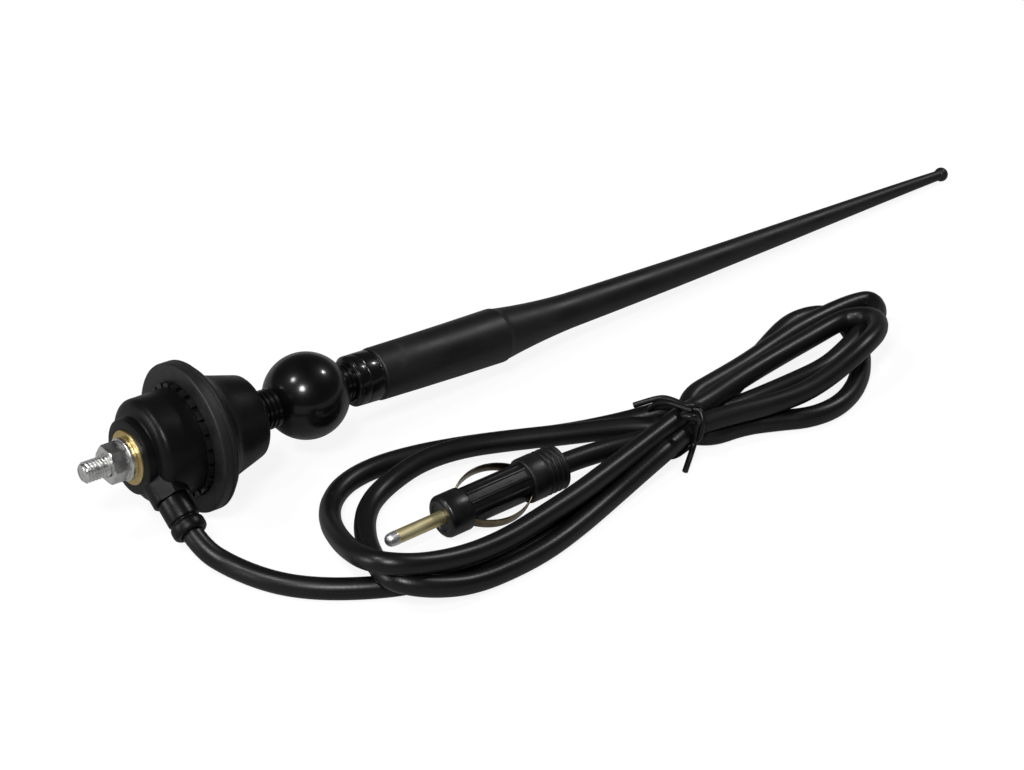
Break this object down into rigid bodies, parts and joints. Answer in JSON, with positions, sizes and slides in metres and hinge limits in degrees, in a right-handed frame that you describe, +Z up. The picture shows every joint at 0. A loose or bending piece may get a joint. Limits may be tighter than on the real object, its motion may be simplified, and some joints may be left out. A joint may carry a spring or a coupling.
{
  "type": "car mast aerial",
  "caption": "Wing-mounted car radio aerial: clamped base with a split ball, a flexible rubber mast that tilts on it, and a tied hank of coaxial cable ending in a radio plug.",
  "frame": {"origin": "on the floor under the middle of the aerial as it lies, cable, hank and plug left out", "axes": "+X from the stud to the mast's tip along the floor, +Z up, the cable lies on the -Y side"},
  "size_m": [0.2692, 0.0905, 0.0351],
  "materials": {
    "zinc": "zinc plated, satin",
    "brass": "turned",
    "black_plastic": "moulded, satin",
    "black_metal": "black gloss",
    "rubber": "matt",
    "cable": "soft PVC, satin",
    "solder": "tinned",
    "nickel": "bright"
  },
  "bodies": {
    "base": {"threaded_stud": "zinc", "clamp_nut": "zinc", "flat_washer": "zinc", "contact_bush": "brass", "lower_barrel": "black_plastic", "earth_ring": "black_metal", "flange_pad": "rubber", "base_dome": "black_plastic", "base_ball_half": "black_metal", "spring_washer": "zinc", "ball_screw": "zinc", "cable_grommet": "rubber", "core_wire": "brass", "cable_lead": "cable", "cable_hank": "cable", "twist_tie": "cable", "cable_tail": "cable", "plug_tip": "solder", "plug_pin": "brass", "plug_head": "black_plastic", "plug_body": "black_plastic", "plug_spring_far": "nickel", "plug_spring_near": "nickel", "plug_boot": "rubber"},
    "mast": {"mast_ball_half": "black_metal", "ferrule": "black_metal", "mast_insert": "brass", "mast_core": "zinc", "mast_rubber": "rubber"}
  },
  "joints": [
    {"name": "ball_tilt", "type": "hinge", "parent": "base", "child": "mast", "pos_m": [-0.07533, 0.00169, 0.01551], "axis": [0.0265, -0.9135, 0.4059], "range_deg": [-90, 90]}
  ]
}
